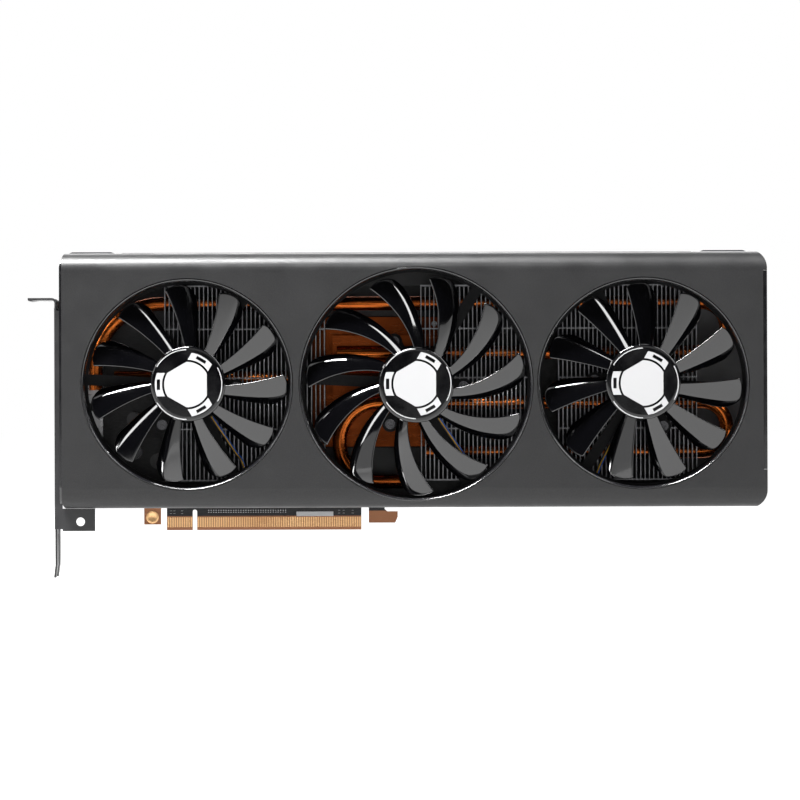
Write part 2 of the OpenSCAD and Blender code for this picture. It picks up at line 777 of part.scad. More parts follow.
// ---------- display sockets and BIOS switch ----------
// A metal shell with an open mouth towards the bracket and a contact tongue inside
module socket_shell(z, w, h, depth) {
    front = bracket_x - 0.5;
    box_y = board_front - 0.4 - h;
    difference() {
        box([front, box_y, z - w / 2], [front + depth, box_y + h, z + w / 2]);
        box([front - 1, box_y + socket_wall, z - w / 2 + socket_wall],
            [front + depth - 3, box_y + h - socket_wall, z + w / 2 - socket_wall]);
    }
    box([front + 1.5, box_y + h / 2 - 0.7, z - w / 2 + 2.5],
        [front + depth - 2.5, box_y + h / 2 + 0.7, z + w / 2 - 2.5]);
    // feet that reach the board
    for (dx = [4, depth - 4])
        box([front + dx, box_y + h - eps, z - w / 2 + 1], [front + dx + 2, board_front, z - w / 2 + 2.5]);
    for (dx = [4, depth - 4])
        box([front + dx, box_y + h - eps, z + w / 2 - 2.5], [front + dx + 2, board_front, z + w / 2 - 1]);
}

module display_sockets() {
    color("#b5b8bc") for (z = socket_z) socket_shell(z, dp_w, dp_h, 20);
}

module wide_display_socket() {
    color("#b5b8bc") socket_shell(wide_socket_z, hdmi_w, hdmi_h, 15);
}

switch_x = 20;
switch_travel = 2;
lever_w = 3.8 - switch_travel;

module bios_switch_body() {
    color("#aeb0b4") difference() {
        box([switch_x - 4.5, board_front - 4, board_top - 4.5], [switch_x + 4.5, board_front, board_top]);
        box([switch_x - 2.2, board_front - 3, board_top - 2],
            [switch_x + 2.2, board_front - 1, board_top + 1]);
    }
}

module bios_switch_lever() {
    color("#f2f2f2")
        box([switch_x - 1.9, board_front - 2.8, board_top - 1.8],
            [switch_x - 1.9 + lever_w, board_front - 1.2, board_top + 2.4]);
}

// ---------- bracket ----------
tongue_w = 10.19;
tongue_tip_z = -19.66;
shoulder_z = 1.2;
bracket_near_y = -34.8;
bracket_far_y = 4.0;
first_tongue_y = -5.16;
lip_reach = 3.4;

module bracket_outline() {
    translate([bracket_near_y, shoulder_z]) square([bracket_far_y - bracket_near_y, 96 - shoulder_z]);
    for (k = [0, 1]) translate([first_tongue_y - k * slot_pitch, 0]) polygon([
        [-tongue_w / 2, shoulder_z + 1], [-tongue_w / 2, tongue_tip_z + 3],
        [-tongue_w / 2 + 1.6, tongue_tip_z], [tongue_w / 2 - 1.6, tongue_tip_z],
        [tongue_w / 2, tongue_tip_z + 3], [tongue_w / 2, shoulder_z + 1]
    ]);
    translate([bracket_near_y + 2.4, 90]) square([bracket_far_y - bracket_near_y - 4.8, 12]);
}

// The sheet seen from its edge: a tongue bent slightly outwards, a flat wall and a round bend
// into the flange
module bracket_profile() {
    inner_x = bracket_x + bracket_t;
    bend_r = 1.3;
    bend_x = bracket_x - bend_r;
    bend_z = flange_z - bracket_t - bend_r;
    flange_end = bracket_x - 11.43;
    polygon([
        [bracket_x - 0.7, tongue_tip_z], [inner_x - 0.7, tongue_tip_z], [inner_x, tongue_tip_z + 5.5],
        [inner_x, bend_z], [bracket_x, bend_z], [bracket_x, tongue_tip_z + 5.5]
    ]);
    intersection() {
        difference() {
            translate([bend_x, bend_z]) circle(bend_r + bracket_t);
            translate([bend_x, bend_z]) circle(bend_r);
        }
        translate([bend_x, bend_z]) square(10);
    }
    translate([flange_end, flange_z - bracket_t]) square([bend_x - flange_end, bracket_t]);
    polygon([[flange_end + 0.3, flange_z - bracket_t - 0.4], [flange_end + 1.4, flange_z - bracket_t - 0.4],
             [flange_end + 4, flange_z - bracket_t + 0.1], [flange_end, flange_z - bracket_t + 0.1]]);
}

module io_bracket() {
    inner_x = bracket_x + bracket_t;
    tab_x = bracket_x + 17.3;
    color("#161617") difference() {
        union() {
            intersection() {
                along_y(bracket_near_y, bracket_far_y) bracket_profile();
                union() {
                    along_x(bracket_x - 1, inner_x + 1) bracket_outline();
                    box([bracket_x - 12, bracket_near_y + 2.4, 96],
                        [bracket_x + 0.5, bracket_far_y - 2.4, 102]);
                }
            }
            // lip folded along the near edge, and the drilled tab at its foot
            box([inner_x - eps, bracket_near_y, shoulder_z],
                [bracket_x + lip_reach, bracket_near_y + bracket_t, 95]);
            box([bracket_x + lip_reach - eps, bracket_near_y, 0.4],
                [tab_x, bracket_near_y + bracket_t, shroud_bottom - 0.15]);
            // two tabs folded onto the back of the board
            for (p = bracket_screw_xz)
                box([inner_x - eps, board_back, p[1] - 4], [p[0] + 4, board_back + bracket_t, p[1] + 4]);
        }
        y_rod(tab_hole_r, bracket_near_y - 1, bracket_near_y + 2, bracket_x + 11.06, 4.4);
        for (p = bracket_screw_xz) y_rod(1.6, board_back - 1, board_back + 2, p[0], p[1]);
        // mouths of the display sockets
        for (z = socket_z) socket_mouth(z, dp_w, dp_h);
        socket_mouth(wide_socket_z, hdmi_w, hdmi_h);
        // vents of the second slot
        for (row = [0 : 8], column = [0, 1])
            translate([0, -21.6 - column * 8, 10.5 + row * 10])
                along_x(bracket_x - 1, inner_x + 1) rotate(90) slot_outline(7.5, 5.5);
        // screw notches of the flange
        for (k = [0, 1]) translate([0, 0, flange_z - 3]) linear_extrude(6)
            translate([bracket_x - 7.2, bracket_far_y - 4.4 - k * slot_pitch]) {
                circle(2.2);
                translate([-9, -2.2]) square([9, 4.4]);
            }
    }
}

module socket_mouth(z, w, h) {
    gap = 0.25;
    box([bracket_x - 1, board_front - 0.4 - h - gap, z - w / 2 - gap],
        [bracket_x + 2, board_front - 0.4 + gap, z + w / 2 + gap]);
}

module bracket_screws() {
    color("#c4c4c8") for (p = bracket_screw_xz) {
        y_rod(1.45, board_front - 0.6, board_back + bracket_t, p[0], p[1]);
        difference() {
            y_rod(2.6, board_back + bracket_t, board_back + bracket_t + 1.4, p[0], p[1]);
            translate([p[0], board_back + bracket_t + 0.7, p[1]]) rotate([-90, 0, 0])
                cylinder(r = 1, h = 2, $fn = 6);
        }
    }
}

// ---------- power sockets ----------
module power_sockets() {
    board_side_y = board_front - 0.4;
    color("#0f0f10") for (x = power_x) difference() {
        union() {
            box([x, board_side_y - power_d, power_low_z], [x + power_w, board_side_y, power_high_z]);
            box([x + 1, board_side_y - eps, power_low_z], [x + 3, board_front, power_low_z + 4]);
            box([x + power_w - 3, board_side_y - eps, power_low_z],
                [x + power_w - 1, board_front, power_low_z + 4]);
            // latch ramp on the side away from the board
            box([x + power_w / 2 - 2.5, board_side_y - power_d - 0.8, power_low_z + 5],
                [x + power_w / 2 + 2.5, board_side_y - power_d + eps, power_high_z - 2]);
        }
        for (column = [0 : 3], row = [0, 1])
            translate([x + power_w / 2 + (column - 1.5) * cell_pitch - cell / 2,
                       board_side_y - power_d / 2 + (row - 0.5) * cell_pitch - cell / 2,
                       power_low_z + 2])
                cube([cell, cell, 20]);
    }
}

module power_pins() {
    board_side_y = board_front - 0.4;
    pin = 1.0;
    color("#d0b26a") for (x = power_x, column = [0 : 3], row = [0, 1])
        translate([x + power_w / 2 + (column - 1.5) * cell_pitch - pin / 2,
                   board_side_y - power_d / 2 + (row - 0.5) * cell_pitch - pin / 2, power_low_z + 2])
            cube([pin, pin, 7.5]);
}

// ---------- back ----------
back_screw_y = backplate_y + backplate_t;

module backplate() {
    groove_depth = 0.5;
    color("#202022") difference() {
        along_y(backplate_y, back_screw_y)
            rounded_outline(-54.6, 12.6, shroud_right - 1.5, shroud_top - 1, [3, 6, 6, 3]);
        // window over the processor's spring
        along_y(backplate_y - 1, back_screw_y + 1)
            rounded_outline(gpu_x - 34, gpu_z - 34, gpu_x + 34, gpu_z + 34, [4, 4, 4, 4]);
        // shallow grooves beyond the board
        for (k = [0 : 8])
            along_y(back_screw_y - groove_depth, back_screw_y + 1)
                translate([226, 27 + k * 9.6]) slot_outline(24, 4.2);
        // row of slots behind the power stages
        for (k = [0 : 6])
            along_y(backplate_y - 1, back_screw_y + 1)
                translate([stage_x - 8, 28 + 12 * k]) slot_outline(18, 3.2);
        for (p = board_screw_xz) y_rod(1.6, backplate_y - 1, back_screw_y + 1, p[0], p[1]);
        // room for the bracket's screws
        for (p = bracket_screw_xz) y_rod(3.2, backplate_y - 1, back_screw_y + 1, p[0], p[1]);
        // open corner beside the bracket's bent edge
        box([-60, backplate_y - 1, 0], [-53.9, back_screw_y + 1, 14]);
    }
    // standoffs onto the board
    color("#202022") for (p = board_screw_xz) difference() {
        y_rod(3, board_back, backplate_y + eps, p[0], p[1]);
        y_rod(1.6, board_back - 1, backplate_y + 1, p[0], p[1]);
    }
}

// Crossed spring plate that pulls the cooler onto the processor, on four short posts
module retention_outline() {
    arm = gpu_screw_span * sqrt(2) + 4;
    translate([gpu_x, gpu_z]) difference() {
        union() {
            for (turn = [45, -45]) rotate(turn) square([2 * arm, 9], center = true);
            circle(13);
        }
        circle(7);
    }
}

module retention_spring() {
    spring_y = board_back + 1.4;
    color("#b9bbbf") difference() {
        union() {
            along_y(spring_y, spring_y + 1) retention_outline();
            for (a = [-1, 1], b = [-1, 1])
                y_rod(3.2, board_back, spring_y + 0.5,
                      gpu_x + a * gpu_screw_span, gpu_z + b * gpu_screw_span);
        }
        for (a = [-1, 1], b = [-1, 1])
            y_rod(1.6, board_back - 1, spring_y + 2,
                  gpu_x + a * gpu_screw_span, gpu_z + b * gpu_screw_span);
    }
}

module retention_screws() {
    head_y = board_back + 2.4;
    color("#c4c4c8") {
        for (a = [-1, 1], b = [-1, 1])
            socket_screw(gpu_x + a * gpu_screw_span, gpu_z + b * gpu_screw_span, -5.6, head_y, 1.2, 3.2, 2);
        for (p = board_screw_xz) socket_screw(p[0], p[1], board_front - 0.6, back_screw_y, 1.45, 2.8, 1.1);
    }
}

module socket_screw(x, z, tip_y, head_y, r, head_r, head_h) {
    y_rod(r, tip_y, head_y + eps, x, z);
    difference() {
        y_rod(head_r, head_y, head_y + head_h, x, z);
        translate([x, head_y + head_h * 0.4, z]) rotate([-90, 0, 0])
            cylinder(r = head_r * 0.45, h = 3, $fn = 6);
    }
}

shroud();
end_trim_bracket();
end_trim_tail();
tail_grille();
top_trim();
fan_ring(LEFT);  // fan_ring_left
fan_ring(MIDDLE);  // fan_ring_middle
fan_ring(RIGHT);  // fan_ring_right
fan_frame(LEFT);  // fan_frame_left
fan_frame(MIDDLE);  // fan_frame_middle
fan_frame(RIGHT);  // fan_frame_right
stator(LEFT);  // stator_left
stator(MIDDLE);  // stator_middle
stator(RIGHT);  // stator_right
bearing(LEFT);  // bearing_left
bearing(MIDDLE);  // bearing_middle
bearing(RIGHT);  // bearing_right
impeller(LEFT);  // impeller_left
impeller(MIDDLE);  // impeller_middle
impeller(RIGHT);  // impeller_right
fan_shaft(LEFT);  // fan_shaft_left
fan_shaft(MIDDLE);  // fan_shaft_middle
fan_shaft(RIGHT);  // fan_shaft_right
rotor_magnet(LEFT);  // rotor_magnet_left
rotor_magnet(MIDDLE);  // rotor_magnet_middle
rotor_magnet(RIGHT);  // rotor_magnet_right
hub_emblem(LEFT);  // hub_emblem_left
hub_emblem(MIDDLE);  // hub_emblem_middle
hub_emblem(RIGHT);  // hub_emblem_right
fin_stack(LEFT, [pipe_z[3], left_pipe_z]);  // fin_stack_bracket
fin_stack(MIDDLE, pipe_z);  // fin_stack_middle
fin_stack(RIGHT, pipe_z);  // fin_stack_tail
heat_pipes();
cold_plate();
memory_plate();
thermal_pads();
mounting_rails();
circuit_board();
edge_contacts();
gpu_package();
gpu_die();
memory_chips();
inductors();
capacitors();
power_stages();
fan_headers();
fan_leads();
display_sockets();
wide_display_socket();
bios_switch_body();
bios_switch_lever();
io_bracket();
power_sockets();
power_pins();
backplate();
retention_spring();
retention_screws();
bracket_screws();
fan_screws();
case_screws();
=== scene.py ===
"""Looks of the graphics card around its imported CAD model. All sizes are in metres."""

import json
import math

import bpy
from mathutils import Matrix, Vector

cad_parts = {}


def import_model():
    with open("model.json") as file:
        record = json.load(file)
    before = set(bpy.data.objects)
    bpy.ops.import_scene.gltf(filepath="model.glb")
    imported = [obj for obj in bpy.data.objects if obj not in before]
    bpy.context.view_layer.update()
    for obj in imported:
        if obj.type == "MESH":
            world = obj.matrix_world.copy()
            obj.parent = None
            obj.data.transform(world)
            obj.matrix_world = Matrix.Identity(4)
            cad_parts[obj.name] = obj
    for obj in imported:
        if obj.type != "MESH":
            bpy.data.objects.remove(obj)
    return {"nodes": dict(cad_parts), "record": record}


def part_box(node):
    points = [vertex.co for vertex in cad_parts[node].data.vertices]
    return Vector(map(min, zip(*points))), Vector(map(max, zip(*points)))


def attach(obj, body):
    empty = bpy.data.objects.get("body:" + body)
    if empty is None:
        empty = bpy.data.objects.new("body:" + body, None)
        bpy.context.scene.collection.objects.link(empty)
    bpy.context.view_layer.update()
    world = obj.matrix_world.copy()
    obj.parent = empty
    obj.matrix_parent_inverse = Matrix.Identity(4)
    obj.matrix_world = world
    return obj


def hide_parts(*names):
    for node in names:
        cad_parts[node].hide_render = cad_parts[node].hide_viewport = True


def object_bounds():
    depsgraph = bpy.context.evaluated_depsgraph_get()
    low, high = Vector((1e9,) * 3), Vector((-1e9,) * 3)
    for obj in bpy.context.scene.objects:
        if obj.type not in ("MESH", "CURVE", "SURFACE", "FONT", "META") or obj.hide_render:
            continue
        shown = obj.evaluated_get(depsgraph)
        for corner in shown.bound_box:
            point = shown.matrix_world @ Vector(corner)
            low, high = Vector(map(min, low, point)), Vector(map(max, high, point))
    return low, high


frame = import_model()
cad_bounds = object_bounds()
NODES = frame["nodes"]
FANS = ("left", "middle", "right")
MM = 0.001


# ---------- materials ----------
class Finish:
    """A node material around one Principled shader, with texture coordinates in the card's frame."""

    NOISE_SPAN = (0.3, 0.7)      # most of a noise's values lie in it

    def __init__(self, name, colour, roughness, metallic=0.0, **sockets):
        self.material = bpy.data.materials.new(name)
        self.material.use_nodes = True
        self.tree = self.material.node_tree
        self.shader = self.tree.nodes["Principled BSDF"]
        self.colour = (*colour, 1.0)
        self.shader.inputs["Base Color"].default_value = self.colour
        self.shader.inputs["Roughness"].default_value = roughness
        self.shader.inputs["Metallic"].default_value = metallic
        for socket, value in sockets.items():
            self.shader.inputs[socket.replace("_", " ")].default_value = value
        self.place = self.node("ShaderNodeTexCoord").outputs["Object"]
        self.last_bump = None

    def node(self, kind, **values):
        made = self.tree.nodes.new(kind)
        for key, value in values.items():
            setattr(made, key, value)
        return made

    def link(self, output, socket):
        self.tree.links.new(output, socket)

    def noise(self, scale, detail=3.0, stretch=(1, 1, 1)):
        """Noise of that many cells a metre, with the frame's axes scaled by stretch."""
        mapping = self.node("ShaderNodeMapping")
        mapping.inputs["Scale"].default_value = stretch
        self.link(self.place, mapping.inputs["Vector"])
        made = self.node("ShaderNodeTexNoise")
        made.inputs["Scale"].default_value = scale
        made.inputs["Detail"].default_value = detail
        self.link(mapping.outputs["Vector"], made.inputs["Vector"])
        return made.outputs["Fac"]

    def remap(self, value, low, high, to_low=0.0, to_high=1.0):
        """The value with its span from low to high moved to another span, and cut off beyond it."""
        made = self.node("ShaderNodeMapRange")
        for socket, number in zip(("From Min", "From Max", "To Min", "To Max"),
                                  (low, high, to_low, to_high)):
            made.inputs[socket].default_value = number
        self.link(value, made.inputs["Value"])
        return made.outputs["Result"]

    def maths(self, kind, a, b):
        made = self.node("ShaderNodeMath", operation=kind)
        for socket, value in zip(made.inputs, (a, b)):
            if isinstance(value, (int, float)):
                socket.default_value = value
            else:
                self.link(value, socket)
        return made.outputs["Value"]

    def axis(self, name):
        """The place along one of the frame's axes."""
        split = self.node("ShaderNodeSeparateXYZ")
        self.link(self.place, split.inputs["Vector"])
        return split.outputs[name]

    def between(self, value, low, high):
        """1 where value lies between low and high, else 0."""
        return self.maths("MULTIPLY", self.maths("GREATER_THAN", value, low),
                          self.maths("LESS_THAN", value, high))

    def tint(self, share, other):
        """Mixes another colour in by a share from 0 to 1, over any mixed in before."""
        mixer = self.node("ShaderNodeMix", data_type="RGBA")
        before, after = [s for s in mixer.inputs if s.type == "RGBA"]
        self.link(share, mixer.inputs["Factor"])
        base = self.shader.inputs["Base Color"]
        if base.is_linked:
            self.link(base.links[0].from_socket, before)
        else:
            before.default_value = self.colour
        after.default_value = (*other, 1.0)
        self.link([s for s in mixer.outputs if s.type == "RGBA"][0], base)

    def rough(self, noise, low, high):
        """Lets the roughness follow a noise."""
        self.link(self.remap(noise, *self.NOISE_SPAN, low, high), self.shader.inputs["Roughness"])

    def relief(self, value, depth, strength=1.0):
        """Bumps of that depth in metres, on top of any made before."""
        made = self.node("ShaderNodeBump")
        made.inputs["Distance"].default_value = depth
        made.inputs["Strength"].default_value = strength
        self.link(value, made.inputs["Height"])
        if self.last_bump:
            self.link(self.last_bump, made.inputs["Normal"])
        self.last_bump = made.outputs["Normal"]
        self.link(self.last_bump, self.shader.inputs["Normal"])


def grained_plastic(name, colour, light, roughness, grain, depth, **sockets):
    """Moulded plastic with a spark-eroded grain of that many cells a metre, slightly worn."""
    made = Finish(name, colour, roughness, **sockets)
    fine = made.noise(grain, detail=4.0)
    made.relief(fine, depth, strength=0.8)
    made.relief(made.noise(scale=60, detail=2.0), depth=0.06 * MM, strength=0.25)
    made.tint(made.remap(fine, low=0.42, high=0.72), light)
    made.rough(made.noise(scale=90, detail=5.0), roughness - 0.05, roughness + 0.07)
    return made.material


def gloss_plastic(name, colour, roughness, **sockets):
    """Polished plastic with faint smears, slightly uneven."""
    made = Finish(name, colour, roughness, **sockets)
    made.rough(made.noise(scale=140, detail=6.0), max(0.02, roughness - 0.02), roughness + 0.05)
    made.relief(made.noise(scale=420, detail=2.0), depth=0.01 * MM, strength=0.2)
    return made.material


def painted_metal(name, colour, roughness):
    """Powder-coated metal, a little dusty in places."""
    made = Finish(name, colour, roughness, Coat_Weight=0.15, Coat_Roughness=0.3)
    dusty = [min(1, c * 1.9 + 0.006) for c in colour]
    made.relief(made.noise(scale=2600, detail=2.0), depth=0.02 * MM, strength=0.5)
    made.tint(made.remap(made.noise(scale=75, detail=6.0), low=0.45, high=0.85), dusty)
    made.rough(made.noise(scale=160, detail=5.0), roughness - 0.06, roughness + 0.09)
    return made.material


def bare_metal(name, colour, roughness, stretch=(1, 1, 1), scale=900, tarnish=None):
    """Metal with a drawn or rolled grain along the axis that stretch scales least."""
    made = Finish(name, colour, roughness, metallic=1.0)
    lines = made.noise(scale, detail=4.0, stretch=stretch)
    made.relief(lines, depth=0.01 * MM, strength=0.5)
    made.rough(lines, max(0.05, roughness - 0.07), roughness + 0.1)
    stains = made.remap(made.noise(scale=55, detail=6.0), low=0.4, high=0.8)
    made.tint(stains, tarnish or [c * 0.7 for c in colour])
    return made.material


def soft_rubber(name, colour):
    """Matte rubber or soft sheathing, paler where it is rubbed."""
    made = Finish(name, colour, roughness=0.7)
    made.relief(made.noise(scale=1500, detail=3.0), depth=0.03 * MM, strength=0.5)
    made.rough(made.noise(scale=200, detail=3.0), 0.6, 0.8)
    made.tint(made.remap(made.noise(scale=120, detail=4.0), low=0.4, high=0.8),
              [c * 1.25 for c in colour])
    return made.material


# where the board has no solder mask, in mm: lowest and highest X, and highest Z
BARE_PATCHES = {"contacts": (-13.5, 72.5, 6.1), "hook": (73.8, 90, 8.2), "tab": (-24, -14.2, 10.5)}
SOLDER_MASK = (0.006, 0.006, 0.007)
MASK_OVER_TRACES = (0.011, 0.011, 0.012)
LAMINATE = (0.3, 0.12, 0.05)


def board_finish(name):
    """Black solder mask over brown laminate, which shows at cut edges and round the contacts."""
    made = Finish(name, SOLDER_MASK, 0.4, Specular_IOR_Level=0.3, Coat_Weight=0.1, Coat_Roughness=0.2)
    x, z = made.axis("X"), made.axis("Z")
    normal = made.node("ShaderNodeSeparateXYZ")
    made.link(made.node("ShaderNodeTexCoord").outputs["Normal"], normal.inputs["Vector"])
    bare = made.maths("LESS_THAN", made.maths("ABSOLUTE", normal.outputs["Y"], 0), 0.6)
    for left, right, top in BARE_PATCHES.values():
        patch = made.maths("MULTIPLY", made.between(x, left * MM, right * MM),
                           made.maths("LESS_THAN", z, top * MM))
        bare = made.maths("MAXIMUM", bare, patch)
    traces = made.remap(made.noise(scale=700, detail=0.0, stretch=(1, 1, 6)), low=0.5, high=0.53)
    made.tint(traces, MASK_OVER_TRACES)
    made.tint(bare, LAMINATE)
    made.rough(made.noise(scale=500, detail=3.0), 0.3, 0.5)
    made.relief(traces, depth=0.03 * MM, strength=0.5)
    made.relief(made.noise(scale=3000, detail=2.0, stretch=(1, 1, 0.2)), depth=0.01 * MM, strength=0.4)
    return made.material


GLOSS = {"IOR": 1.6, "Specular_IOR_Level": 0.55, "Coat_Weight": 0.4, "Coat_Roughness": 0.02}
DULL = {"Specular_IOR_Level": 0.15}
# one finish for each material slot of the record
FINISHES = {
    "shroud_plastic": grained_plastic("shroud_plastic", (0.011, 0.011, 0.0115), (0.021, 0.021, 0.0215),
                                      0.38, 2600, 0.05 * MM, Specular_IOR_Level=0.4),
    "gloss_trim": gloss_plastic("gloss_trim", (0.004, 0.004, 0.005), 0.08, **GLOSS),
    "matte_black": grained_plastic("matte_black", (0.008, 0.008, 0.009), (0.016, 0.016, 0.017),
                                   0.55, 2400, 0.04 * MM),
    "satin_trim": bare_metal("satin_trim", (0.24, 0.24, 0.25), 0.35, (0.05, 1, 1)),
    "ring_plastic": gloss_plastic("ring_plastic", (0.006, 0.006, 0.007), 0.16, **GLOSS),
    "frame_plastic": grained_plastic("frame_plastic", (0.004, 0.004, 0.0045), (0.008, 0.008, 0.009),
                                     0.5, 1800, 0.03 * MM, **DULL),
    "winding": bare_metal("winding", (0.55, 0.2, 0.07), 0.3, (1, 8, 1), 800),
    "bearing_brass": bare_metal("bearing_brass", (0.62, 0.42, 0.16), 0.35),
    "blade_gloss": gloss_plastic("blade_gloss", (0.0012, 0.0012, 0.0016), 0.06, **GLOSS),
    "shaft_steel": bare_metal("shaft_steel", (0.6, 0.6, 0.6), 0.22, (1, 0.1, 1)),
    "magnet": painted_metal("magnet", (0.03, 0.03, 0.032), 0.5),
    "emblem": gloss_plastic("emblem", (0.43, 0.43, 0.435), 0.35),
    "fin_aluminium": bare_metal("fin_aluminium", (0.24, 0.24, 0.25), 0.42, (1, 0.3, 1), 700),
    "copper": bare_metal("copper", (0.5, 0.125, 0.022), 0.22, (0.15, 1, 1), 500, (0.24, 0.045, 0.01)),
    "black_metal": painted_metal("black_metal", (0.005, 0.005, 0.006), 0.5),
    "thermal_pad": soft_rubber("thermal_pad", (0.28, 0.34, 0.45)),
    "board": board_finish("board"),
    "gold": bare_metal("gold", (0.8, 0.49, 0.24), 0.32, (1, 1, 0.2), 1500, (0.6, 0.33, 0.15)),
    "package_green": gloss_plastic("package_green", (0.02, 0.07, 0.035), 0.3),
    "silicon": bare_metal("silicon", (0.3, 0.31, 0.34), 0.12),
    "chip_black": grained_plastic("chip_black", (0.01, 0.01, 0.011), (0.02, 0.02, 0.021),
                                  0.5, 3000, 0.02 * MM),
    "inductor_grey": grained_plastic("inductor_grey", (0.07, 0.07, 0.075), (0.12, 0.12, 0.125),
                                     0.6, 1500, 0.05 * MM),
    "capacitor_can": painted_metal("capacitor_can", (0.014, 0.014, 0.016), 0.35),
    "connector_cream": grained_plastic("connector_cream", (0.66, 0.6, 0.48), (0.72, 0.67, 0.56),
                                       0.5, 1500, 0.02 * MM),
    "lead_sheath": soft_rubber("lead_sheath", (0.015, 0.015, 0.017)),
    "socket_steel": bare_metal("socket_steel", (0.6, 0.6, 0.61), 0.3, (0.2, 1, 1)),
    "switch_white": gloss_plastic("switch_white", (0.8, 0.8, 0.8), 0.4),
    "bracket_black": painted_metal("bracket_black", (0.012, 0.012, 0.013), 0.4),
    "power_black": grained_plastic("power_black", (0.008, 0.008, 0.009), (0.015, 0.015, 0.016),
                                   0.5, 2000, 0.03 * MM),
    "backplate_black": painted_metal("backplate_black", (0.013, 0.013, 0.014), 0.42),
    "spring_steel": bare_metal("spring_steel", (0.58, 0.58, 0.6), 0.3, (1, 1, 0.1)),
    "screw_steel": bare_metal("screw_steel", (0.62, 0.62, 0.64), 0.28),
    "screw_black": painted_metal("screw_black", (0.015, 0.015, 0.016), 0.4),
}

# two nodes whose finish differs a little from their slot's: darker fan screws, and a cold plate whose copper
# colour is darkened as painted shade, for the shade deep inside the cooler
OWN_FINISH = {"fan_screws": bare_metal("fan_screw_steel", (0.09, 0.09, 0.095), 0.25),
              # painted shade: the cold plate's copper colour is made dark to stand in for the shade that
              # falls on it deep inside the cooler
              "cold_plate": bare_metal("shade_darkened_copper", (0.2, 0.045, 0.01), 0.3, (0.15, 1, 1), 500,
                                       (0.07, 0.015, 0.004))}

SLOT_OF = {row["node"]: row["material_slot"] for row in frame["record"]["subparts"]}
for node_name, node_piece in NODES.items():
    for material_slot in node_piece.material_slots:
        material_slot.material = OWN_FINISH.get(node_name, FINISHES[SLOT_OF[node_name]])


# ---------- mesh helpers ----------
def body_of(node):
    """The name of the body that a CAD node belongs to."""
    bodies = frame["record"]["behaviour"]["bodies"]
    return next(name for name, members in bodies.items() if node in members)


def piece_from(name, points, faces, slot, body, smooth=True):
    """A new piece from points in the frame, with its finish and the body that it rides on."""
    mesh = bpy.data.meshes.new(name)
    mesh.from_pydata([tuple(p) for p in points], [], faces)
    mesh.validate()
    mesh.polygons.foreach_set("use_smooth", [smooth] * len(mesh.polygons))
    made = bpy.data.objects.new(name, mesh)
    bpy.context.scene.collection.objects.link(made)
    mesh.materials.append(FINISHES[slot])
    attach(made, body)
    return made


def mix(a, b, t):
    return a + (b - a) * t


def quarter_turn(steps):
    """Angles from 0 to a quarter turn."""
    return [math.radians(90 * k / steps) for k in range(steps + 1)]


def turned(profile, centre, segments=144, closed=True):
    """Points and faces of a body turned about the Y line through centre: profile is (radius, y)."""
    points, faces = [], []
    count = len(profile)
    for k in range(segments):
        a = 2 * math.pi * k / segments
        points += [(centre.x + r * math.sin(a), y, centre.z + r * math.cos(a)) for r, y in profile]
    for k in range(segments):
        here, there = k * count, (k + 1) % segments * count
        for m in range(count if closed else count - 1):
            n = (m + 1) % count
            faces.append((here + m, here + n, there + n, there + m))
    return points, faces


def middle_of(node):
    """The middle of a round node, on the plane of its front, and half its width."""
    low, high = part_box(node)
    return Vector(((low.x + high.x) / 2, low.y, (low.z + high.z) / 2)), (high.x - low.x) / 2


# ---------- impellers ----------
HUB_R = 16 * MM
HUB_EDGE = 0.7 * MM          # radius of the round edge of its front
HUB_FRONT_CIRCLES = (0.0, 4 * MM, 10 * MM, 14 * MM)      # radii where its flat front is divided
HUB_FRONT_THICK = 1.9 * MM
HUB_WALL = 1.4 * MM
BOSS_R = 3 * MM
BOSS_DEPTH = 4.5 * MM        # from the hub's front
BLADES = 11
BLADE_THICK = 0.9 * MM
BLADE_START = 0.7 * MM       # behind the hub's front
BLADE_SINK = 1.0 * MM        # how far its root reaches into the hub
FACE_SLOPE = 0.4             # fall towards the back for each unit of width, before the crease
STRIP_SLOPE = 0.65           # and after it
CREASE_ROUND = 1.4 * MM
EDGE_ROUND = 0.45 * MM
LEADING_CORNER = 1.6 * MM    # how far its leading tip corner is rounded off
WELD = 0.01 * MM             # points closer than this are joined
# clock angles of one blade's leading edge, crease and trailing edge, at its root and at its tip,
# and how far its trailing tip corner is rounded off
SWEEP = {"left": ((27, 36, 45), (19, 31.5, 38.5), 5.5 * MM),
         "middle": ((30, 36, 46), (7, 20, 26), 5.5 * MM),
         "right": ((27, 40, 48), (22.5, 36.5, 43), 7.5 * MM)}
# steps across a blade, 0 to 1 on its face and 1 to 2 on its strip, and along it from root to tip
ACROSS = [0, 0.02, 0.06, 0.12, 0.2, 0.3, 0.4, 0.5, 0.6, 0.7, 0.8, 0.88, 0.94, 0.98, 1,
          1.04, 1.12, 1.25, 1.4, 1.55, 1.7, 1.82, 1.9, 1.96, 2]
ALONG = [k / 22 for k in range(21)] + [0.94, 0.96, 0.975, 0.987, 0.995, 1]


def crease_lift(before, after):
    """How far the rounded crease stands behind the sharp one, that far before or after it."""
    from_crease = after if after > 0 else before
    share = max(0.0, 1 - from_crease / CREASE_ROUND)
    return (STRIP_SLOPE - FACE_SLOPE) * CREASE_ROUND * share ** 2 / 4


def tip_inset(share, trailing_corner):
    """How far the tip is drawn in at a share of the blade's width from its leading edge."""
    if share < 0.5:
        return LEADING_CORNER * (1 - 2 * share) ** 3
    return trailing_corner * (2 * share - 1) ** 2


def rounded_share(distance, width):
    """Share of the full thickness at a distance from a round edge."""
    if distance >= width:
        return 1.0
    return math.sqrt(max(0.0, 1 - (1 - distance / width) ** 2))


